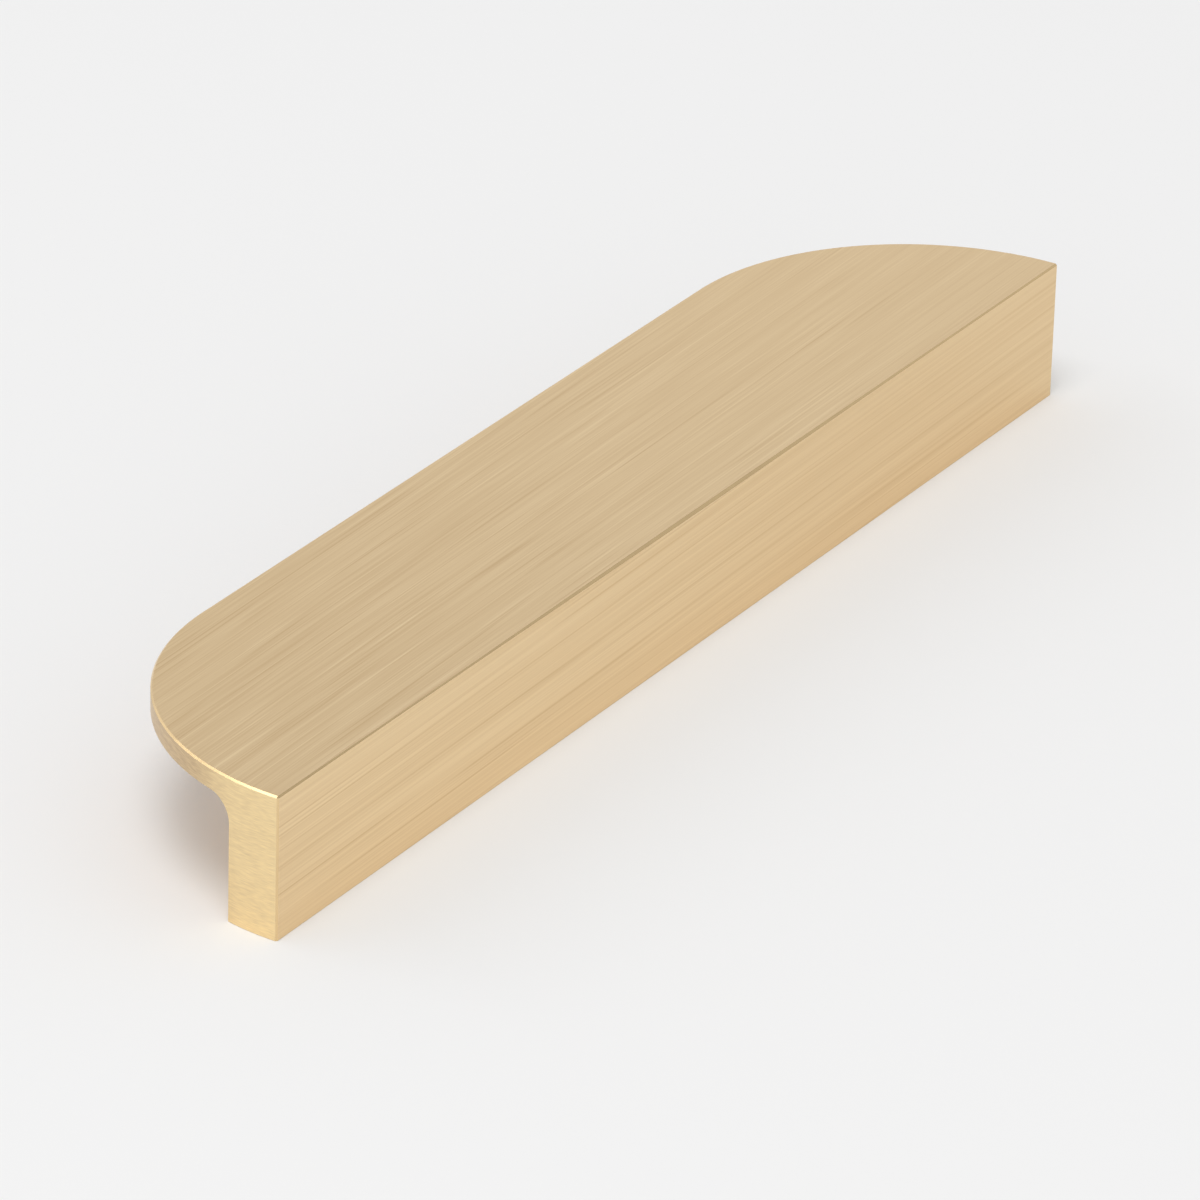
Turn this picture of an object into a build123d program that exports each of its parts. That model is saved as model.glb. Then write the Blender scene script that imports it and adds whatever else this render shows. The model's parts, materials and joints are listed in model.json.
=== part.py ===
from build123d import *
from math import radians, tan
import os

# A cabinet pull milled from one bar of brass, in millimetres.
# A standing wall screws to the door, and a grip plate reaches out over the fingers from its top.
# +X runs along the pull, +Y from the wall towards the grip edge, and +Z away from the door.
# The origin is on the foot of the wall, midway between the two screw holes.

# Driving dimensions of the bar
LENGTH = 240.0  # overall, along X
DEPTH = 45.0  # outer face of the wall to the grip edge, and the radius of the round ends
HEIGHT = 25.0  # foot of the wall to the top of the plate
WALL = 10.0  # thickness of the standing wall
PLATE = 4.0  # thickness of the grip plate
HOLLOW_RADIUS = 4.0  # rounded inner corner between the wall and the plate
EDGE_BREAK = 0.3  # chamfer on every outer edge

# Driving dimensions of the two screw holes, drilled for an M4 thread
HOLE_SPACING = 160.0  # centre to centre, along X
TAP_DRILL = 3.3  # diameter of the drilled hole
DRILL_DEPTH = 14.0  # foot to the end of the full diameter
DRILL_POINT = 118.0  # included angle of the drill's tip, in degrees
MOUTH = 4.2  # diameter of the countersink where it meets the foot
MOUTH_ANGLE = 90.0  # included angle of the countersink, in degrees

# An edge whose two faces turn by less than this is a smooth seam, and isn't broken
SEAM_ANGLE = 10.0

# Places that follow from the sizes
OUTER = -WALL / 2  # outer face of the wall, along Y
INNER = WALL / 2  # inner face of the wall, along Y
GRIP = OUTER + DEPTH  # grip edge of the plate, along Y
UNDER = HEIGHT - PLATE  # underside of the plate, along Z
END = LENGTH / 2  # tip of each end, along X
ARC_START = END - DEPTH  # where each round end runs into the straight grip edge, along X


def bar_section():
    """The L-shaped section of the bar, with the rounded inner corner under the plate."""
    with BuildSketch(Plane.YZ) as section:
        with BuildLine():
            Polyline(
                (OUTER, 0),
                (INNER, 0),
                (INNER, UNDER),
                (GRIP, UNDER),
                (GRIP, HEIGHT),
                (OUTER, HEIGHT),
                close=True,
            )
        make_face()
        hollow = section.vertices().sort_by_distance((INNER, UNDER))[0]
        fillet(hollow, HOLLOW_RADIUS)
    return section.sketch


def plan_outline():
    """The outline that the ends are milled to: straight along the wall, a quarter circle at each end."""
    with BuildSketch(Plane.XY) as plan:
        with BuildLine():
            Line((-END, OUTER), (END, OUTER))
            CenterArc((ARC_START, OUTER), DEPTH, 0, 90)
            Line((ARC_START, GRIP), (-ARC_START, GRIP))
            CenterArc((-ARC_START, OUTER), DEPTH, 90, 90)
        make_face()
    return plan.sketch


def sharp_edges(body):
    """The edges where two faces meet at an angle, without the seams where a curve runs on smoothly."""
    sharp = []
    for edge in body.edges():
        middle = edge @ 0.5
        sides = [face for face in body.faces() if edge in face.edges()]
        turn = sides[0].normal_at(middle).get_angle(sides[1].normal_at(middle))
        if turn > SEAM_ANGLE:
            sharp.append(edge)
    return sharp


def screw_hole():
    """What the drill and the countersink take out of the foot, on the Z axis and open at Z = 0."""
    hole_radius = TAP_DRILL / 2
    mouth_radius = MOUTH / 2
    mouth_depth = (mouth_radius - hole_radius) / tan(radians(MOUTH_ANGLE / 2))
    tip_height = hole_radius / tan(radians(DRILL_POINT / 2))
    with BuildSketch(Plane.XZ) as profile:
        with BuildLine():
            Polyline(
                (0, 0),
                (mouth_radius, 0),
                (hole_radius, mouth_depth),
                (hole_radius, DRILL_DEPTH),
                (0, DRILL_DEPTH + tip_height),
                close=True,
            )
        make_face()
    return revolve(profile.sketch, axis=Axis.Z)


def pull():
    """The bar, milled to its outline, with its edges broken and its two screw holes drilled."""
    bar = extrude(bar_section(), amount=END, both=True)
    body = bar & extrude(plan_outline(), amount=HEIGHT)
    body = chamfer(sharp_edges(body), EDGE_BREAK)
    for x in (-HOLE_SPACING / 2, HOLE_SPACING / 2):
        body -= Pos(x, 0, 0) * screw_hole()
    return body


def main():
    os.makedirs("parts", exist_ok=True)
    export_step(pull(), "parts/pull.step")


main()
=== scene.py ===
import json
from math import asin, cos, pi, radians, sin, tan

import bmesh
import bpy
from bpy.props import FloatProperty, FloatVectorProperty, IntProperty, PointerProperty
from mathutils import Matrix, Vector


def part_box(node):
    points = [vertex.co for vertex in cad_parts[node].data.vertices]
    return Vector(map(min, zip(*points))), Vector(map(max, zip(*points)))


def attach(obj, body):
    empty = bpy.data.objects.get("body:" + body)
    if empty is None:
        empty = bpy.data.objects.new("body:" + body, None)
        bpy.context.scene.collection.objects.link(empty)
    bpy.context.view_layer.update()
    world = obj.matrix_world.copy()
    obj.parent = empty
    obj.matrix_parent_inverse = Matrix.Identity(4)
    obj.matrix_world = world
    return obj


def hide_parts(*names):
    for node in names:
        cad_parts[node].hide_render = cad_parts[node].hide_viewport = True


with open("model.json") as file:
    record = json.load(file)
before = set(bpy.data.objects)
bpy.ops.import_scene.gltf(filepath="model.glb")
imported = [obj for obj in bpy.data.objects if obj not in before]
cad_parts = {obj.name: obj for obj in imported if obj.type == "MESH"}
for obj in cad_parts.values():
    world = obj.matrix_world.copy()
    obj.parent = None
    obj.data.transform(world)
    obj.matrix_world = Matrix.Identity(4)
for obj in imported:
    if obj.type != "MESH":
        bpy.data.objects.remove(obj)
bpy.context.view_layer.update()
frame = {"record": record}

bl_info = {
    "name": "Brass Cabinet Pull",
    "version": (1, 0, 0),
    "blender": (4, 5, 0),
    "location": "View3D > Sidebar > Cabinet Pull",
    "description": "Models a brushed brass cabinet pull on its CAD frame and sets it on a pale floor",
    "category": "Object",
}

# One millimetre in Blender's metres
MM = 0.001

# What the frame says of the pull
PULL_LOW, PULL_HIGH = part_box("pull")
PULL_SIZE = PULL_HIGH - PULL_LOW
SCREW_HOLES = [mount for mount in frame["record"]["mounts"] if mount["name"] == "screw_holes"][0]["dims"]

# The tips of the round ends lose about a micrometre to the edge break, so sizes are read to 0.01 mm
SIZE_DIGITS = 5

# Places closer than this are the same place
NEAR = 0.01 * MM

# A corner of the mesh this close to a cutting plane counts as on it
CUT_TOLERANCE = 0.0001 * MM

# Faces that turn by less than this lie in one plane
FLAT_TURN = radians(0.5)

# Edges that turn by more than this are shaded as edges, and the others as one smooth surface
SHARP_TURN = radians(30)

# A face looks along an axis where its unit normal has more than the first of these along it, and leans that
# way where it has more than the second
LOOKING = 0.5
LEANING = 0.01

# Material slots of the pull, in order after the plate's, which is the first
WALL_SLOT = 1
RIM_SLOT = 2
INSIDE_SLOT = 3
EDGE_SLOT = 4


def srgb(code):
    """The linear colour of an sRGB hex value such as 'EBD09F'."""
    linear = []
    for place in (0, 2, 4):
        level = int(code[place:place + 2], 16) / 255
        if level <= 0.04045:
            linear.append(level / 12.92)
        else:
            linear.append(((level + 0.055) / 1.055) ** 2.4)
    return tuple(linear)


class PullSizes(bpy.types.PropertyGroup):
    """Sizes of the pull, of which the main ones come from the CAD model."""

    length: FloatProperty(
        name="Length",
        description="Overall, along X",
        default=round(PULL_SIZE.x, SIZE_DIGITS),
        unit="LENGTH",
    )
    depth: FloatProperty(
        name="Depth",
        description="Outer face of the wall to the grip edge, and the radius of the round ends",
        default=round(PULL_SIZE.y, SIZE_DIGITS),
        unit="LENGTH",
    )
    height: FloatProperty(
        name="Height",
        description="Foot of the wall to the top of the plate",
        default=round(PULL_SIZE.z, SIZE_DIGITS),
        unit="LENGTH",
    )
    wall: FloatProperty(
        name="Wall",
        description="Thickness of the standing wall, which is centred on the screw holes",
        default=round(-2 * PULL_LOW.y, SIZE_DIGITS),
        unit="LENGTH",
    )
    plate: FloatProperty(
        name="Plate",
        description="Thickness of the grip plate",
        default=4 * MM,
        unit="LENGTH",
    )
    hollow_radius: FloatProperty(
        name="Hollow Radius",
        description="Rounded inner corner between the wall and the plate",
        default=4 * MM,
        unit="LENGTH",
    )
    edge_break: FloatProperty(
        name="Edge Break",
        description="Chamfer on the edges",
        default=0.3 * MM,
        unit="LENGTH",
    )
    foot_break: FloatProperty(
        name="Foot Break",
        description="Chamfer on the edges of the foot, which lie against the door and are only deburred",
        default=0.08 * MM,
        unit="LENGTH",
    )
    edge_wander: FloatProperty(
        name="Edge Wander",
        description="How much wider and narrower the chamfer of the long top edge gets along its length",
        default=0.12 * MM,
        unit="LENGTH",
    )
    edge_wave: FloatProperty(
        name="Edge Wave",
        description="Distance from one wide place of that chamfer to the next",
        default=175 * MM,
        unit="LENGTH",
    )
    hole_spacing: FloatProperty(
        name="Hole Spacing",
        description="Centre to centre of the two screw holes",
        default=SCREW_HOLES["spacing_x_mm"] * MM,
        unit="LENGTH",
    )
    hole_radius: FloatProperty(
        name="Hole Radius",
        description="Radius of the drilled hole, before it is tapped",
        default=SCREW_HOLES["hole_r_mm"] * MM,
        unit="LENGTH",
    )
    hole_depth: FloatProperty(
        name="Hole Depth",
        description="Foot to the end of the hole's full radius",
        default=14 * MM,
        unit="LENGTH",
    )
    hole_mouth: FloatProperty(
        name="Hole Mouth",
        description="Radius of the countersink where it meets the foot",
        default=2.1 * MM,
        unit="LENGTH",
    )
    drill_point: FloatProperty(
        name="Drill Point",
        description="Included angle of the drill's tip",
        default=radians(118),
        subtype="ANGLE",
    )
    thread_radius: FloatProperty(
        name="Thread Radius",
        description="Half the outer diameter of the M4 thread",
        default=2 * MM,
        unit="LENGTH",
    )
    thread_pitch: FloatProperty(
        name="Thread Pitch",
        description="Advance of the thread in one turn",
        default=0.7 * MM,
        unit="LENGTH",
    )
    thread_turns: IntProperty(
        name="Thread Turns",
        description="Turns of full thread in each hole",
        default=16,
    )


class PullFinish(bpy.types.PropertyGroup):
    """Colours and brushing of the brass."""

    brass_light: FloatVectorProperty(
        name="Light Brass",
        description="Colour of the lightest brush lines",
        default=srgb("F4DAAE"),
        subtype="COLOR",
    )
    brass_dark: FloatVectorProperty(
        name="Dark Brass",
        description="Colour of the darkest brush lines",
        default=srgb("E2C496"),
        subtype="COLOR",
    )
    # The rim's light colour is partly painted light, which brightens the end of the wall beyond its lightest
    # marks
    rim_light_marks_and_painted_light: FloatVectorProperty(
        name="Light Rim",
        description="Colour of the lightest marks on the ends and the grip edge",
        default=srgb("FCE2AE"),
        subtype="COLOR",
    )
    # The rim's dark colour is partly painted shade, which darkens the rim of the plate beyond its darkest
    # marks
    rim_dark_marks_and_painted_shade: FloatVectorProperty(
        name="Dark Rim",
        description="Colour of the darkest marks on the ends and the grip edge",
        default=srgb("CAB08C"),
        subtype="COLOR",
    )
    inside_light: FloatVectorProperty(
        name="Light Inside",
        description="Colour of the lightest cutter marks under the plate",
        default=srgb("F0CA8C"),
        subtype="COLOR",
    )
    inside_dark: FloatVectorProperty(
        name="Dark Inside",
        description="Colour of the darkest cutter marks under the plate",
        default=srgb("E0B674"),
        subtype="COLOR",
    )
    brass_bare: FloatVectorProperty(
        name="Bare Brass",
        description="Colour of the edges and the threads, cut after the faces were brushed",
        default=srgb("EFD29F"),
        subtype="COLOR",
    )
    plate_streak: FloatProperty(
        name="Plate Streak",
        description="Length of a brush line on the plate",
        default=45 * MM,
        unit="LENGTH",
    )
    wall_streak: FloatProperty(
        name="Wall Streak",
        description="Length of a brush line on the wall",
        default=80 * MM,
        unit="LENGTH",
    )
    rim_mark: FloatProperty(
        name="Rim Mark",
        description="Length of a mark that the belt left on the rim",
        default=1.5 * MM,
        unit="LENGTH",
    )
    brush_tilt: FloatProperty(
        name="Brush Tilt",
        description="How far the brush lines lean off the length of the pull",
        default=radians(1),
        subtype="ANGLE",
    )


class Studio(bpy.types.PropertyGroup):
    """The floor, the light and the camera."""

    floor_colour: FloatVectorProperty(
        name="Floor",
        description="Colour of the matt paper that the pull stands on",
        default=srgb("EEEEEE"),
        subtype="COLOR",
    )
    floor_size: FloatProperty(
        name="Floor Size",
        description="Side of the floor",
        default=9.0,
        unit="LENGTH",
    )
    key_power: FloatProperty(
        name="Key Power",
        description="Power of the large softbox overhead",
        default=111.0,
        unit="POWER",
    )
    strip_power: FloatProperty(
        name="Strip Power",
        description="Power of the strip light behind the near end",
        default=3.9,
        unit="POWER",
    )
    camera_aim: FloatVectorProperty(
        name="Camera Aim",
        description="The point that the middle of the picture shows",
        default=(-13.91 * MM, 3.66 * MM, 12.5 * MM),
        subtype="TRANSLATION",
    )
    camera_distance: FloatProperty(
        name="Camera Distance",
        description="From the aim to the camera",
        default=1434.18 * MM,
        unit="LENGTH",
    )
    camera_heading: FloatProperty(
        name="Camera Heading",
        description="Direction of the view, clockwise from +Y as seen from above",
        default=radians(58.603),
        subtype="ANGLE",
    )
    camera_drop: FloatProperty(
        name="Camera Drop",
        description="How far the view looks down",
        default=radians(26.538),
        subtype="ANGLE",
    )
    camera_roll: FloatProperty(
        name="Camera Roll",
        description="Turn of the camera about its line of sight",
        default=radians(1.649),
        subtype="ANGLE",
    )
    camera_lens: FloatProperty(
        name="Camera Lens",
        description="Focal length in millimetres, on a picture 36 mm wide",
        default=265.978,
    )


# Working in edit mode

def start_editing(piece):
    """Makes one object the only selected one and opens its mesh."""
    bpy.ops.object.select_all(action="DESELECT")
    piece.select_set(True)
    bpy.context.view_layer.objects.active = piece
    bpy.ops.object.mode_set(mode="EDIT")


def stop_editing():
    """Closes the mesh that is open."""
    bpy.ops.object.mode_set(mode="OBJECT")


def pick(kind, wanted):
    """Selects only the corners, edges or faces of the open mesh that are wanted."""
    bpy.ops.mesh.select_mode(type=kind)
    bpy.ops.mesh.select_all(action="DESELECT")
    mesh = bpy.context.edit_object.data
    opened = bmesh.from_edit_mesh(mesh)
    elements = {"VERT": opened.verts, "EDGE": opened.edges, "FACE": opened.faces}[kind]
    found = [element for element in elements if wanted(element)]
    if not found:
        raise RuntimeError("Nothing of the pull's mesh is where it is looked for")
    for element in found:
        element.select_set(True)
    bmesh.update_edit_mesh(mesh)


def middle_of(edge):
    """The point halfway along an edge."""
    return (edge.verts[0].co + edge.verts[1].co) / 2


def cut(point, normal, trim=False):
    """Cuts the open mesh along a plane; trim takes off what the normal points to and closes the cut."""
    bpy.ops.mesh.select_all(action="SELECT")
    bpy.ops.mesh.bisect(
        plane_co=point,
        plane_no=normal,
        use_fill=trim,
        clear_outer=trim,
        threshold=CUT_TOLERANCE,
    )


def close_up():
    """Merges the open mesh's doubled corners and turns its faces outwards."""
    bpy.ops.mesh.select_all(action="SELECT")
    bpy.ops.mesh.remove_doubles(threshold=CUT_TOLERANCE)
    bpy.ops.mesh.normals_make_consistent(inside=False)


# The bar

# Facets of the hollow corner, and the first of its lines from which a line of the round end may run up
HOLLOW_STEPS = 8
HOLLOW_TURN = 5

# Shape of a bevel that makes it a quarter circle
ROUND_PROFILE = 0.5

# Facets of a round end, on the wall and on the plate
WALL_FACETS = 6
PLATE_FACETS = 40

# Distance from the inner face of the wall to the nearest line of the round end
WALL_MARGIN = 1.5 * MM

# Parts that cuts across the bar divide it into, so that the chamfer of the long top edge can change
STATIONS = 24

# How that chamfer wanders, in shares of the edge wander: wider on the whole, and wider for each metre
# towards +X
WANDER_WIDER = 0.4
WANDER_RISE = 3.0


def rough_bar(sizes):
    """The bar with square ends: a wall, the plate drawn out of its top, and the hollow corner."""
    bpy.ops.object.select_all(action="DESELECT")
    bpy.ops.mesh.primitive_cube_add(
        size=1,
        location=(0, 0, sizes.height / 2),
        scale=(sizes.length, sizes.wall, sizes.height),
    )
    bpy.ops.object.transform_apply(location=True, rotation=True, scale=True)
    bar = bpy.context.active_object
    bar.name = "brass_pull"
    bar.data.name = "brass_pull"
    inner = sizes.wall / 2
    under = sizes.height - sizes.plate

    start_editing(bar)
    cut((0, 0, under), (0, 0, 1))
    pick("FACE", lambda face: face.normal.y > LOOKING and face.calc_center_median().z > under)
    bpy.ops.mesh.extrude_region_move(TRANSFORM_OT_translate={"value": (0, sizes.depth - sizes.wall, 0)})
    bpy.ops.mesh.select_all(action="SELECT")
    bpy.ops.mesh.dissolve_limited(angle_limit=FLAT_TURN)

    inner_corner = Vector((0, inner, under))
    pick("EDGE", lambda edge: (middle_of(edge) - inner_corner).length < NEAR)
    bpy.ops.mesh.bevel(
        offset_type="OFFSET",
        offset=sizes.hollow_radius,
        segments=HOLLOW_STEPS,
        profile=ROUND_PROFILE,
        affect="EDGES",
    )
    stop_editing()
    return bar


def end_angles(sizes):
    """Where the facets of a round end meet, as angles from the long outer face.

    The facets meet along upright lines. None of these stands where the hollow corner is steep, because
    the edge break that follows the hollow couldn't cross it there.
    """
    hollow_start = sizes.hollow_radius * (1 - cos(pi / 2 * HOLLOW_TURN / HOLLOW_STEPS))
    on_wall = asin((sizes.wall - WALL_MARGIN) / sizes.depth)
    on_hollow = asin((sizes.wall + hollow_start) / sizes.depth)
    on_plate = asin((sizes.wall + sizes.hollow_radius) / sizes.depth)
    angles = [on_wall * step / WALL_FACETS for step in range(WALL_FACETS + 1)]
    angles.append(on_hollow)
    for step in range(PLATE_FACETS + 1):
        angles.append(on_plate + (pi / 2 - on_plate) * step / PLATE_FACETS)
    return angles


def round_ends(bar, sizes):
    """Cuts both ends of the bar to a quarter circle, facet by facet, and divides it into stations."""
    outer = -sizes.wall / 2
    arc_start = sizes.length / 2 - sizes.depth
    angles = end_angles(sizes)
    start_editing(bar)
    for station in range(1, STATIONS):
        along = station / STATIONS - 0.5
        cut((along * (sizes.length - sizes.depth), 0, 0), (1, 0, 0))
    for side in (-1, 1):
        for angle, next_angle in zip(angles, angles[1:]):
            on_arc = (side * (arc_start + sizes.depth * cos(angle)), outer + sizes.depth * sin(angle), 0)
            outwards = (angle + next_angle) / 2
            cut(on_arc, (side * cos(outwards), sin(outwards), 0), trim=True)
    stop_editing()


def finish_faces(bar, slot, wanted):
    """Gives the faces of the open mesh that are wanted the finish in a slot."""
    pick("FACE", wanted)
    bar.active_material_index = slot
    bpy.ops.object.material_slot_assign()


def lay_materials(bar, sizes):
    """Gives each face the finish that it was worked to."""
    grip = sizes.depth - sizes.wall / 2
    start_editing(bar)
    finish_faces(bar, WALL_SLOT, lambda face: face.normal.y < -LOOKING)
    finish_faces(bar, INSIDE_SLOT, lambda face: face.normal.y > LEANING or face.normal.z < -LOOKING)
    finish_faces(
        bar,
        RIM_SLOT,
        lambda face: abs(face.normal.x) > LEANING or face.calc_center_median().y > grip - NEAR,
    )
    stop_editing()


def shift_corner(place, shift):
    """Moves the corner of the open mesh that is at a place."""
    pick("VERT", lambda corner: (corner.co - place).length < NEAR)
    bpy.ops.transform.translate(value=shift)


def widen_long_edge(sizes):
    """Makes the chamfer of the long top edge wander, wider and narrower along its length."""
    outer = -sizes.wall / 2
    lip_y = outer + sizes.edge_break
    lip_z = sizes.height - sizes.edge_break
    for station in range(1, STATIONS):
        x = (station / STATIONS - 0.5) * (sizes.length - sizes.depth)
        wave = cos(2 * pi * x / sizes.edge_wave)
        wider = sizes.edge_wander * (WANDER_WIDER + WANDER_RISE * x + wave)
        shift_corner(Vector((x, lip_y, sizes.height)), (0, wider, 0))
        shift_corner(Vector((x, outer, lip_z)), (0, 0, -wider))


def chamfer(width, wanted):
    """Chamfers the sharp edges of the open mesh whose middle is where it is wanted."""
    pick("EDGE", lambda edge: edge.calc_face_angle(0) > SHARP_TURN and wanted(middle_of(edge)))
    bpy.ops.mesh.bevel(
        offset_type="OFFSET",
        offset=width,
        segments=1,
        affect="EDGES",
        clamp_overlap=False,
        material=EDGE_SLOT,
    )


def break_edges(bar, sizes):
    """Chamfers every edge, and lets that of the long top edge wander as a hand-held belt leaves it."""
    start_editing(bar)
    chamfer(sizes.edge_break, lambda middle: middle.z > NEAR)
    chamfer(sizes.foot_break, lambda middle: middle.z < NEAR)
    widen_long_edge(sizes)
    stop_editing()


# The screw holes

# Facets round a hole and a thread
HOLE_FACETS = 48

# How far a cutter reaches out of the foot, so that it cuts the face cleanly
CUTTER_REACH = 0.5 * MM

# How far the thread's profile reaches into the open hole, so that it cuts the wall of the hole cleanly
THREAD_REACH = 0.15 * MM

# Half the angle of the thread's profile
THREAD_FLANK = radians(30)

# Pitches below the foot at which the thread starts
THREAD_LEAD = 1.5


def trace_profile(name, points, material):
    """Draws a line from point to point in the plane of X and Z, and leaves its mesh open."""
    bpy.ops.object.select_all(action="DESELECT")
    bpy.ops.mesh.primitive_plane_add(size=MM)
    profile = bpy.context.active_object
    profile.name = name
    profile.data.materials.append(material)
    start_editing(profile)
    bpy.ops.mesh.select_all(action="SELECT")
    bpy.ops.mesh.merge(type="CENTER")
    bpy.ops.transform.translate(value=points[0])
    for start, stop in zip(points, points[1:]):
        bpy.ops.mesh.extrude_region_move(TRANSFORM_OT_translate={"value": stop - start})
    return profile


def drill_cutter(sizes, material):
    """What the drill and the countersink take out of the foot, turned about the Z axis."""
    mouth_depth = sizes.hole_mouth - sizes.hole_radius
    tip = sizes.hole_depth + sizes.hole_radius / tan(sizes.drill_point / 2)
    profile = trace_profile(
        "drill",
        [
            Vector((0, 0, -CUTTER_REACH)),
            Vector((sizes.hole_mouth + CUTTER_REACH, 0, -CUTTER_REACH)),
            Vector((sizes.hole_radius, 0, mouth_depth)),
            Vector((sizes.hole_radius, 0, sizes.hole_depth)),
            Vector((0, 0, tip)),
        ],
        material,
    )
    bpy.ops.mesh.select_all(action="SELECT")
    bpy.ops.mesh.spin(steps=HOLE_FACETS, angle=2 * pi, center=(0, 0, 0), axis=(0, 0, 1))
    close_up()
    stop_editing()
    return profile


def tap_cutter(sizes, material):
    """What the tap takes out of the drilled hole: a V-shaped groove that climbs round the Z axis."""
    inside = sizes.hole_radius - THREAD_REACH
    half_width = (sizes.thread_radius - inside) * tan(THREAD_FLANK)
    start = -sizes.thread_pitch * THREAD_LEAD
    corners = [
        Vector((inside, 0, start - half_width)),
        Vector((sizes.thread_radius, 0, start)),
        Vector((inside, 0, start + half_width)),
    ]
    profile = trace_profile("tap", corners, material)
    bpy.ops.mesh.select_all(action="SELECT")
    bpy.ops.mesh.edge_face_add()
    bpy.ops.mesh.delete(type="ONLY_FACE")
    stop_editing()
    bpy.ops.object.modifier_add(type="SCREW")
    screw = profile.modifiers[-1]
    screw.axis = "Z"
    screw.angle = 2 * pi
    screw.screw_offset = sizes.thread_pitch
    screw.iterations = sizes.thread_turns
    screw.steps = HOLE_FACETS
    screw.render_steps = HOLE_FACETS
    bpy.ops.object.modifier_apply(modifier=screw.name)
    start_editing(profile)
    pick("EDGE", lambda edge: len(edge.link_faces) == 1)
    bpy.ops.mesh.fill_holes(sides=len(corners))
    close_up()
    stop_editing()
    return profile


def take_out(body, cutter):
    """Takes the cutter's shape out of the body; the new faces get the cutter's material."""
    bpy.ops.object.select_all(action="DESELECT")
    body.select_set(True)
    bpy.context.view_layer.objects.active = body
    bpy.ops.object.modifier_add(type="BOOLEAN")
    change = body.modifiers[-1]
    change.operation = "DIFFERENCE"
    change.solver = "EXACT"
    change.material_mode = "TRANSFER"
    change.object = cutter
    bpy.ops.object.modifier_apply(modifier=change.name)


def tap_holes(bar, sizes, material):
    """Drills the two blind holes in the foot and cuts their threads."""
    cutters = [drill_cutter(sizes, material), tap_cutter(sizes, material)]
    for cutter in cutters:
        for side in (-1, 1):
            cutter.location.x = side * sizes.hole_spacing / 2
            take_out(bar, cutter)
    bpy.ops.object.select_all(action="DESELECT")
    for cutter in cutters:
        cutter.select_set(True)
    bpy.ops.object.delete()


# Materials

def add_node(tree, kind, settings, inputs):
    """Adds a node, sets its settings, and sets or links its inputs, by their names or numbers."""
    node = tree.nodes.new(kind)
    for name, value in settings.items():
        setattr(node, name, value)
    for socket, value in inputs.items():
        if isinstance(value, bpy.types.NodeSocket):
            tree.links.new(value, node.inputs[socket])
        else:
            node.inputs[socket].default_value = value
    return node


def new_material(name):
    """An empty node material, with the output that its shader goes to."""
    material = bpy.data.materials.new(name)
    material.use_nodes = True
    material.node_tree.nodes.clear()
    output = material.node_tree.nodes.new("ShaderNodeOutputMaterial")
    return material, material.node_tree, output


# Sockets of the Mix node when it mixes colours
MIX_FIRST = 6
MIX_SECOND = 7
MIX_RESULT = 2

# Typical of satin-brushed brass
BRUSHED_ROUGHNESS = 0.36
BRUSHED_ANISOTROPY = 0.6

# How much smoother the lightest lines are than the middle, and rougher the darkest
ROUGHNESS_CHANGE = 0.06

# Depth of the brush lines, and how it changes from the end at -X, where the belt came down, to the other end
LINE_DEPTH = 0.004 * MM
NEAR_END_DEPTH = 1.3
FAR_END_DEPTH = 0.6

# Steps too small to see, for the way that a line runs
NO_STEP = 0.001 * MM

# How far apart lines side by side are in the noise that shades them, so that each has a shade of its own
ROW_SHIFT = 1.37


def add_lines(tree, place, shade, depth, length, width, crisp, shows, adds):
    """Adds lines of one kind to a shade, and returns the new shade.

    Length and width are given along X, Y and Z. Crisp lines lie in rows with sharp sides and are as deep as
    depth says, and others are soft. A line adds the second number of adds where its noise is over the second
    of shows, and the first where it is below the first.
    """
    if crisp:
        rows = [step if step else NO_STEP for step in width]
        in_rows = add_node(tree, "ShaderNodeVectorMath", {"operation": "SNAP"}, {0: place, 1: rows})
        place = in_rows.outputs[0]
    cell = [step / ROW_SHIFT if step else run for run, step in zip(length, width)]
    in_cells = add_node(tree, "ShaderNodeVectorMath", {"operation": "DIVIDE"}, {0: place, 1: cell})
    noise = add_node(tree, "ShaderNodeTexNoise", {}, {
        "Vector": in_cells.outputs[0],
        "Scale": 1.0,
        "Detail": 0.0})
    level = add_node(tree, "ShaderNodeMapRange", {}, {
        "Value": noise.outputs["Fac"],
        "From Min": shows[0],
        "From Max": shows[1],
        "To Min": adds[0],
        "To Max": adds[1]})
    added = add_node(tree, "ShaderNodeMath", {"operation": "MULTIPLY_ADD"}, {
        0: level.outputs[0],
        1: depth if crisp else 1.0,
        2: shade})
    return added.outputs[0]


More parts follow.
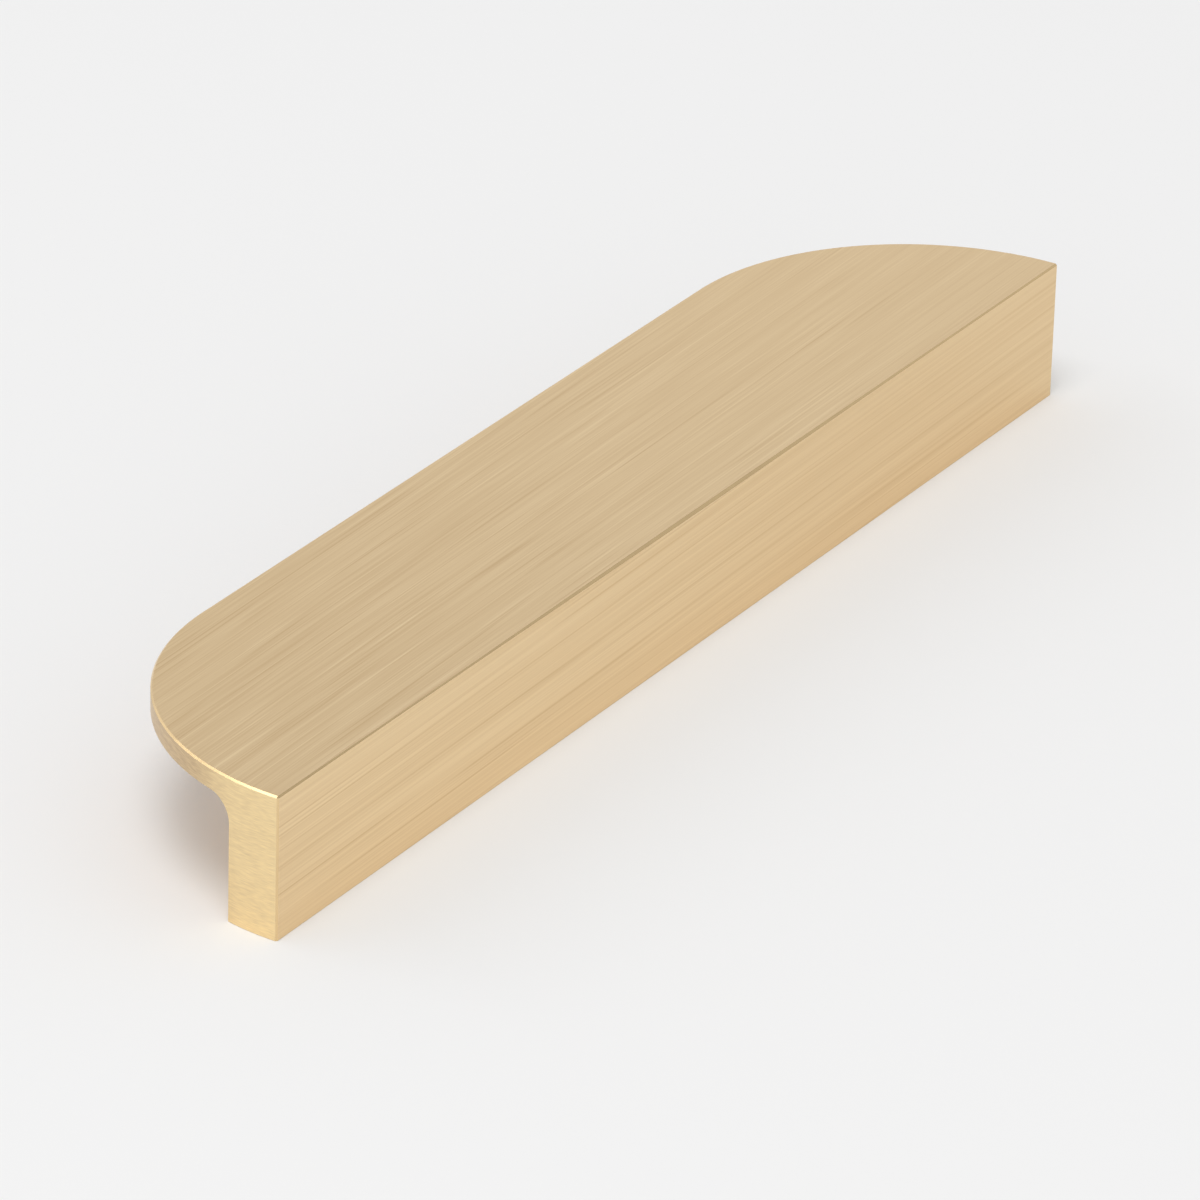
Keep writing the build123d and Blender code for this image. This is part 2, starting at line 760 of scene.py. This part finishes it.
def brushed_brass(name, colours, tone, lines, lean, lines_run, spread_turn):
    """Brass drawn along a fine belt, which leaves thin lines side by side.

    Colours are those of the darkest and the lightest lines, tone is the shade between them and how it changes
    from one place to another along an axis, and lean is how the lines are turned. Lines spread a reflection
    across themselves: spread_turn turns that way off the circle round the axis lines_run.
    """
    material, tree, output = new_material(name)
    place = add_node(tree, "ShaderNodeTexCoord", {}, {}).outputs["Object"]
    leaning = add_node(tree, "ShaderNodeMapping", {"vector_type": "TEXTURE"}, {
        "Vector": place,
        "Rotation": lean})
    spot = add_node(tree, "ShaderNodeSeparateXYZ", {}, {0: place})
    depth = add_node(tree, "ShaderNodeMapRange", {}, {
        "Value": spot.outputs["X"],
        "From Min": PULL_LOW.x,
        "From Max": PULL_HIGH.x,
        "To Min": NEAR_END_DEPTH,
        "To Max": FAR_END_DEPTH})
    # On the rim this change of tone is painted light on the end of the wall and painted shade along the
    # plate's rim
    middle = add_node(tree, "ShaderNodeMapRange", {"interpolation_type": "SMOOTHSTEP"}, {
        "Value": spot.outputs[tone["axis"]],
        "From Min": tone["start"],
        "From Max": tone["stop"],
        "To Min": tone["first"],
        "To Max": tone["last"]})
    shade = middle.outputs[0]
    for kind in lines:
        shade = add_lines(tree, leaning.outputs[0], shade, depth.outputs[0], **kind)
    colour = add_node(tree, "ShaderNodeMix", {"data_type": "RGBA", "clamp_factor": True}, {
        "Factor": shade,
        MIX_FIRST: (*colours[0], 1.0),
        MIX_SECOND: (*colours[1], 1.0)})
    roughness = add_node(tree, "ShaderNodeMapRange", {}, {
        "Value": shade,
        "To Min": BRUSHED_ROUGHNESS + ROUGHNESS_CHANGE,
        "To Max": BRUSHED_ROUGHNESS - ROUGHNESS_CHANGE})
    relief = add_node(tree, "ShaderNodeBump", {}, {
        "Height": shade,
        "Strength": 1.0,
        "Distance": LINE_DEPTH})
    spread = add_node(tree, "ShaderNodeTangent", {"direction_type": "RADIAL", "axis": lines_run}, {})
    brass = add_node(tree, "ShaderNodeBsdfPrincipled", {}, {
        "Base Color": colour.outputs[MIX_RESULT],
        "Metallic": 1.0,
        "Roughness": roughness.outputs[0],
        "Anisotropic": BRUSHED_ANISOTROPY,
        "Anisotropic Rotation": spread_turn,
        "Tangent": spread.outputs[0],
        "Normal": relief.outputs[0]})
    tree.links.new(brass.outputs[0], output.inputs["Surface"])
    return material


# The shade between the lines: on the plate from the end at -X to the middle of the pull, on the wall from end
# to end, inside even, and on the rim from the wall to the plate, where it is painted light on the end of the
# wall and painted shade along the rim of the plate
PLATE_TONE = {"axis": "X", "start": PULL_LOW.x, "stop": 0.0, "first": 0.4, "last": 0.48}
WALL_TONE = {"axis": "X", "start": PULL_LOW.x, "stop": PULL_HIGH.x, "first": 0.66, "last": 0.34}
INSIDE_TONE = {"axis": "X", "start": PULL_LOW.x, "stop": 0.0, "first": 0.5, "last": 0.5}
RIM_PAINTED_LIGHT_AND_SHADE = {"axis": "Y", "start": 2 * MM, "stop": 16 * MM, "first": 0.82, "last": 0.15}

# The noise from which a line starts to show, and with which it shows in full: all along it, or only in the
# few places where the noise is high, which makes a scratch
ALL_ALONG = (0.0, 1.0)
HERE_AND_THERE = (0.68, 0.76)

# A quarter of a turn, as a shader counts the turn of a reflection
QUARTER_TURN = 0.25


def lengthwise(length, width, crisp, shows, adds):
    """Lines of one kind that run along the pull, on a face of any direction."""
    return {
        "length": (length, 0, 0),
        "width": (0, width, width),
        "crisp": crisp,
        "shows": shows,
        "adds": adds,
    }


def satin_plate(finish):
    """The plate: crisp hairlines, long and short, and a few dark and light scratches.

    The finest lines of the real brass are under 0.1 mm wide, and are drawn over twice as wide to show.
    """
    streak = finish.plate_streak
    long_lines = lengthwise(streak, 0.24 * MM, crisp=True, shows=ALL_ALONG, adds=(-0.3, 0.3))
    short_lines = lengthwise(0.35 * streak, 0.2 * MM, crisp=True, shows=ALL_ALONG, adds=(-0.28, 0.28))
    dark_scratches = lengthwise(1.2 * streak, 0.28 * MM, crisp=True, shows=HERE_AND_THERE, adds=(0, -0.34))
    light_scratches = lengthwise(0.8 * streak, 0.26 * MM, crisp=True, shows=HERE_AND_THERE, adds=(0, 0.26))
    return brushed_brass(
        "satin_brass_plate",
        colours=(finish.brass_dark, finish.brass_light),
        tone=PLATE_TONE,
        lines=[long_lines, short_lines, dark_scratches, light_scratches],
        lean=(0, 0, finish.brush_tilt),
        lines_run="X",
        spread_turn=0.0,
    )


def satin_wall(finish):
    """The wall: soft bands and faint hairlines, drawn over twice as wide as the real ones to show."""
    streak = finish.wall_streak
    long_lines = lengthwise(streak, 0.26 * MM, crisp=True, shows=ALL_ALONG, adds=(-0.3, 0.3))
    short_lines = lengthwise(0.35 * streak, 0.22 * MM, crisp=True, shows=ALL_ALONG, adds=(-0.2, 0.2))
    soft_bands = lengthwise(1.5 * streak, 0.9 * MM, crisp=False, shows=ALL_ALONG, adds=(-0.24, 0.24))
    broad_bands = lengthwise(2 * streak, 3.2 * MM, crisp=False, shows=ALL_ALONG, adds=(-0.05, 0.05))
    dark_scratches = lengthwise(streak, 0.3 * MM, crisp=True, shows=HERE_AND_THERE, adds=(0, -0.4))
    return brushed_brass(
        "satin_brass_wall",
        colours=(finish.brass_dark, finish.brass_light),
        tone=WALL_TONE,
        lines=[long_lines, short_lines, soft_bands, broad_bands, dark_scratches],
        lean=(0, -finish.brush_tilt, 0),
        lines_run="X",
        spread_turn=0.0,
    )


def rim_marks_with_painted_light_and_shade(finish):
    """The ends and the grip edge: short level marks, close together, with painted light on the end of the
    wall and painted shade along the rim of the plate.
    """
    mark = finish.rim_mark
    fine_marks = {
        "length": (mark, mark, 0),
        "width": (0, 0, 0.11 * mark),
        "crisp": True,
        "shows": ALL_ALONG,
        "adds": (-0.23, 0.23),
    }
    broad_marks = {
        "length": (3 * mark, 3 * mark, 0),
        "width": (0, 0, 0.7 * mark),
        "crisp": False,
        "shows": ALL_ALONG,
        "adds": (-0.09, 0.09),
    }
    return brushed_brass(
        "satin_brass_rim_painted_light_and_shade",
        colours=(finish.rim_dark_marks_and_painted_shade, finish.rim_light_marks_and_painted_light),
        tone=RIM_PAINTED_LIGHT_AND_SHADE,
        lines=[fine_marks, broad_marks],
        lean=(0, 0, 0),
        lines_run="Z",
        spread_turn=QUARTER_TURN,
    )


def milled_inside(finish):
    """The underside of the plate, the inside of the wall and the foot: yellower, with faint cutter marks."""
    streak = finish.wall_streak
    cutter_marks = lengthwise(streak, 0.4 * MM, crisp=True, shows=ALL_ALONG, adds=(-0.2, 0.2))
    soft_bands = lengthwise(streak, 2 * MM, crisp=False, shows=ALL_ALONG, adds=(-0.2, 0.2))
    return brushed_brass(
        "milled_brass_inside",
        colours=(finish.inside_dark, finish.inside_light),
        tone=INSIDE_TONE,
        lines=[cutter_marks, soft_bands],
        lean=(0, 0, 0),
        lines_run="X",
        spread_turn=0.0,
    )


# Roughness and grain size of bare brass: where an edge was filed, and in a tapped hole
FILED_ROUGHNESS = 0.17
FILED_GRAIN = 3 * MM
TAPPED_ROUGHNESS = 0.3
TAPPED_GRAIN = 1 * MM

# How much the grain of bare brass changes its roughness, up and down
GRAIN_CHANGE = 0.05


def bare_brass(name, finish, roughness, grain):
    """Brass as a cutting edge leaves it: smoother and brighter than the brushed faces, faintly grained."""
    material, tree, output = new_material(name)
    place = add_node(tree, "ShaderNodeTexCoord", {}, {}).outputs["Object"]
    in_grains = add_node(tree, "ShaderNodeMapping", {"vector_type": "TEXTURE"}, {
        "Vector": place,
        "Scale": (grain, grain, grain)})
    graining = add_node(tree, "ShaderNodeTexNoise", {}, {
        "Vector": in_grains.outputs[0],
        "Scale": 1.0,
        "Detail": 2.0})
    colour = add_node(tree, "ShaderNodeMix", {"data_type": "RGBA"}, {
        "Factor": graining.outputs["Fac"],
        MIX_FIRST: (*finish.brass_dark, 1.0),
        MIX_SECOND: (*finish.brass_bare, 1.0)})
    gloss = add_node(tree, "ShaderNodeMapRange", {}, {
        "Value": graining.outputs["Fac"],
        "To Min": roughness - GRAIN_CHANGE,
        "To Max": roughness + GRAIN_CHANGE})
    brass = add_node(tree, "ShaderNodeBsdfPrincipled", {}, {
        "Base Color": colour.outputs[MIX_RESULT],
        "Metallic": 1.0,
        "Roughness": gloss.outputs[0]})
    tree.links.new(brass.outputs[0], output.inputs["Surface"])
    return material


class CABINETPULL_OT_model_pull(bpy.types.Operator):
    """Model the brass pull in place of its plain CAD solid"""

    bl_idname = "cabinet_pull.model_pull"
    bl_label = "Model Pull"

    def execute(self, context):
        sizes = context.scene.pull_sizes
        finish = context.scene.pull_finish
        bar = rough_bar(sizes)
        bar.data.materials.append(satin_plate(finish))
        bar.data.materials.append(satin_wall(finish))
        bar.data.materials.append(rim_marks_with_painted_light_and_shade(finish))
        bar.data.materials.append(milled_inside(finish))
        bar.data.materials.append(bare_brass("filed_brass_edges", finish, FILED_ROUGHNESS, FILED_GRAIN))
        round_ends(bar, sizes)
        lay_materials(bar, sizes)
        break_edges(bar, sizes)
        tap_holes(bar, sizes, bare_brass("tapped_brass_holes", finish, TAPPED_ROUGHNESS, TAPPED_GRAIN))
        start_editing(bar)
        close_up()
        stop_editing()
        bpy.ops.object.shade_smooth_by_angle(angle=SHARP_TURN)
        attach(bar, "root")
        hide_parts("pull")
        return {"FINISHED"}


# The stage

# Brightness of the studio, where a white sheet of paper is 1: its walls near the floor, how much less they
# have higher up, how much less the open front of the studio has there, the way to that front, and the least,
# which the ceiling has
WALLS_LEVEL = 1.16
HEIGHT_FALL = 1.45
FRONT_FALL = 0.72
FRONT_TOWARDS = Vector((0.5, -0.866, 0))
CEILING_LEVEL = 0.49

# The window side of the studio, how much brighter it is low down, and the side across from it darker, and how
# high that reaches
WINDOW_TOWARDS = Vector((-0.8, -0.6, 0))
WINDOW_GAIN = 0.48
WINDOW_RISE = 0.3

# The large softbox overhead, on the camera's side
KEY_TOWARDS = Vector((-0.34, -0.12, 0.92))
KEY_ALONG = Vector((1, 0, 0))
KEY_DISTANCE = 5.0
KEY_LENGTH = 2.3
KEY_WIDTH = 2.3

# The strip light behind the near end, which lights its upper edge; it comes down towards +X
STRIP_TOWARDS = Vector((-0.304, 0.711, 0.634))
STRIP_ALONG = Vector((0.698, 0.619, -0.36))
STRIP_DISTANCE = 2.4
STRIP_LENGTH = 2.15
STRIP_WIDTH = 0.245

# The part of the floor's brightness, as the camera and the brass see it, that no shadow takes away
FLOOR_GLOW = 0.1

# Typical of matt paper
PAPER_ROUGHNESS = 0.9

# Width of the picture that the lens is given for, in millimetres
PICTURE_WIDTH = 36.0


def lay_floor(studio):
    """A sheet of matt paper, level with the foot of the pull: even in colour, and without shine."""
    bpy.ops.object.select_all(action="DESELECT")
    bpy.ops.mesh.primitive_plane_add(size=studio.floor_size)
    floor = bpy.context.active_object
    floor.name = "floor"
    material, tree, output = new_material("matt_paper")
    paper = add_node(tree, "ShaderNodeBsdfPrincipled", {}, {
        "Base Color": (*studio.floor_colour, 1.0),
        "Roughness": PAPER_ROUGHNESS,
        "Specular IOR Level": 0.0})
    ray = add_node(tree, "ShaderNodeLightPath", {}, {})
    seen = add_node(tree, "ShaderNodeMath", {"operation": "MAXIMUM"}, {
        0: ray.outputs["Is Camera Ray"],
        1: ray.outputs["Is Glossy Ray"]})
    share = add_node(tree, "ShaderNodeMath", {"operation": "MULTIPLY"}, {0: seen.outputs[0], 1: FLOOR_GLOW})
    glow = add_node(tree, "ShaderNodeEmission", {}, {
        "Color": (*studio.floor_colour, 1.0),
        "Strength": 1.0})
    lit = add_node(tree, "ShaderNodeMixShader", {}, {
        0: share.outputs[0],
        1: paper.outputs[0],
        2: glow.outputs[0]})
    tree.links.new(lit.outputs[0], output.inputs["Surface"])
    floor.data.materials.append(material)


def hang_softbox(name, towards, along, distance, length, width, power):
    """A softbox that faces the pull, with its length turned as near to along as it can be."""
    away = towards.normalized()
    across = away.cross(along).normalized()
    turn = Matrix((across.cross(away), across, away)).transposed()
    bpy.ops.object.light_add(type="AREA", location=away * distance, rotation=turn.to_euler())
    lamp = bpy.context.active_object
    lamp.name = name
    lamp.data.shape = "RECTANGLE"
    lamp.data.size = length
    lamp.data.size_y = width
    lamp.data.energy = power


def light_studio(scene, studio):
    """Pale walls, and a softbox overhead and a strip light that picks out the upper edge of the near end.

    Where the camera looks past the floor, it sees a backdrop of the floor's colour.
    """
    world = bpy.data.worlds.new("studio")
    world.use_nodes = True
    tree = world.node_tree
    tree.nodes.clear()
    towards = add_node(tree, "ShaderNodeTexCoord", {}, {}).outputs["Generated"]
    rise = add_node(tree, "ShaderNodeSeparateXYZ", {}, {0: towards}).outputs["Z"]
    height = add_node(tree, "ShaderNodeMath", {"operation": "MULTIPLY"}, {0: rise, 1: rise})
    walls = add_node(tree, "ShaderNodeMath", {"operation": "MULTIPLY_ADD"}, {
        0: height.outputs[0],
        1: -HEIGHT_FALL,
        2: WALLS_LEVEL})
    ahead = add_node(tree, "ShaderNodeVectorMath", {"operation": "DOT_PRODUCT"}, {
        0: towards,
        1: FRONT_TOWARDS})
    front = add_node(tree, "ShaderNodeMath", {"operation": "MAXIMUM"}, {0: ahead.outputs["Value"], 1: 0.0})
    front_up = add_node(tree, "ShaderNodeMath", {"operation": "MULTIPLY"}, {0: front.outputs[0], 1: rise})
    darker = add_node(tree, "ShaderNodeMath", {"operation": "MULTIPLY_ADD"}, {
        0: front_up.outputs[0],
        1: -FRONT_FALL,
        2: walls.outputs[0]})
    beside = add_node(tree, "ShaderNodeVectorMath", {"operation": "DOT_PRODUCT"}, {
        0: towards,
        1: WINDOW_TOWARDS})
    low = add_node(tree, "ShaderNodeMapRange", {}, {
        "Value": rise,
        "From Max": WINDOW_RISE,
        "To Min": WINDOW_GAIN,
        "To Max": 0.0})
    level = add_node(tree, "ShaderNodeMath", {"operation": "MULTIPLY_ADD"}, {
        0: beside.outputs["Value"],
        1: low.outputs[0],
        2: darker.outputs[0]})
    strength = add_node(tree, "ShaderNodeMath", {"operation": "MAXIMUM"}, {
        0: level.outputs[0],
        1: CEILING_LEVEL})
    surroundings = add_node(tree, "ShaderNodeBackground", {}, {
        "Color": (1.0, 1.0, 1.0, 1.0),
        "Strength": strength.outputs[0]})
    backdrop = add_node(tree, "ShaderNodeBackground", {}, {
        "Color": (*studio.floor_colour, 1.0),
        "Strength": 1.0})
    ray = add_node(tree, "ShaderNodeLightPath", {}, {})
    seen = add_node(tree, "ShaderNodeMixShader", {}, {
        0: ray.outputs["Is Camera Ray"],
        1: surroundings.outputs[0],
        2: backdrop.outputs[0]})
    add_node(tree, "ShaderNodeOutputWorld", {}, {"Surface": seen.outputs[0]})
    scene.world = world
    hang_softbox(
        "key_softbox",
        KEY_TOWARDS,
        KEY_ALONG,
        KEY_DISTANCE,
        KEY_LENGTH,
        KEY_WIDTH,
        studio.key_power,
    )
    hang_softbox(
        "strip_light",
        STRIP_TOWARDS,
        STRIP_ALONG,
        STRIP_DISTANCE,
        STRIP_LENGTH,
        STRIP_WIDTH,
        studio.strip_power,
    )


def place_camera(scene, studio):
    """The camera where the photograph was taken from."""
    heading = Matrix.Rotation(-studio.camera_heading, 3, "Z")
    drop = Matrix.Rotation(pi / 2 - studio.camera_drop, 3, "X")
    roll = Matrix.Rotation(studio.camera_roll, 3, "Z")
    turn = heading @ drop @ roll
    back = turn @ Vector((0, 0, 1))
    bpy.ops.object.camera_add(
        location=Vector(studio.camera_aim) + back * studio.camera_distance,
        rotation=turn.to_euler(),
    )
    camera = bpy.context.active_object
    camera.name = "camera"
    camera.data.sensor_width = PICTURE_WIDTH
    camera.data.lens = studio.camera_lens
    scene.camera = camera


class CABINETPULL_OT_set_stage(bpy.types.Operator):
    """Lay the floor, light the studio and place the camera"""

    bl_idname = "cabinet_pull.set_stage"
    bl_label = "Set Stage"

    def execute(self, context):
        studio = context.scene.pull_studio
        lay_floor(studio)
        light_studio(context.scene, studio)
        place_camera(context.scene, studio)
        context.scene.view_settings.view_transform = "Standard"
        return {"FINISHED"}


class CABINETPULL_PT_sidebar(bpy.types.Panel):
    """Sizes, finish and stage of the cabinet pull"""

    bl_idname = "CABINETPULL_PT_sidebar"
    bl_label = "Cabinet Pull"
    bl_space_type = "VIEW_3D"
    bl_region_type = "UI"
    bl_category = "Cabinet Pull"

    def draw(self, context):
        groups = (
            (context.scene.pull_sizes, None),
            (context.scene.pull_finish, CABINETPULL_OT_model_pull),
            (context.scene.pull_studio, CABINETPULL_OT_set_stage),
        )
        for group, operator in groups:
            column = self.layout.column()
            for name in group.__annotations__:
                column.prop(group, name)
            if operator:
                column.operator(operator.bl_idname)


CLASSES = (
    PullSizes,
    PullFinish,
    Studio,
    CABINETPULL_OT_model_pull,
    CABINETPULL_OT_set_stage,
    CABINETPULL_PT_sidebar,
)


def register():
    for cls in CLASSES:
        bpy.utils.register_class(cls)
    bpy.types.Scene.pull_sizes = PointerProperty(type=PullSizes)
    bpy.types.Scene.pull_finish = PointerProperty(type=PullFinish)
    bpy.types.Scene.pull_studio = PointerProperty(type=Studio)


def unregister():
    del bpy.types.Scene.pull_studio
    del bpy.types.Scene.pull_finish
    del bpy.types.Scene.pull_sizes
    for cls in reversed(CLASSES):
        bpy.utils.unregister_class(cls)


def main():
    register()
    bpy.ops.cabinet_pull.model_pull()
    bpy.ops.cabinet_pull.set_stage()


if __name__ == "__main__":
    main()
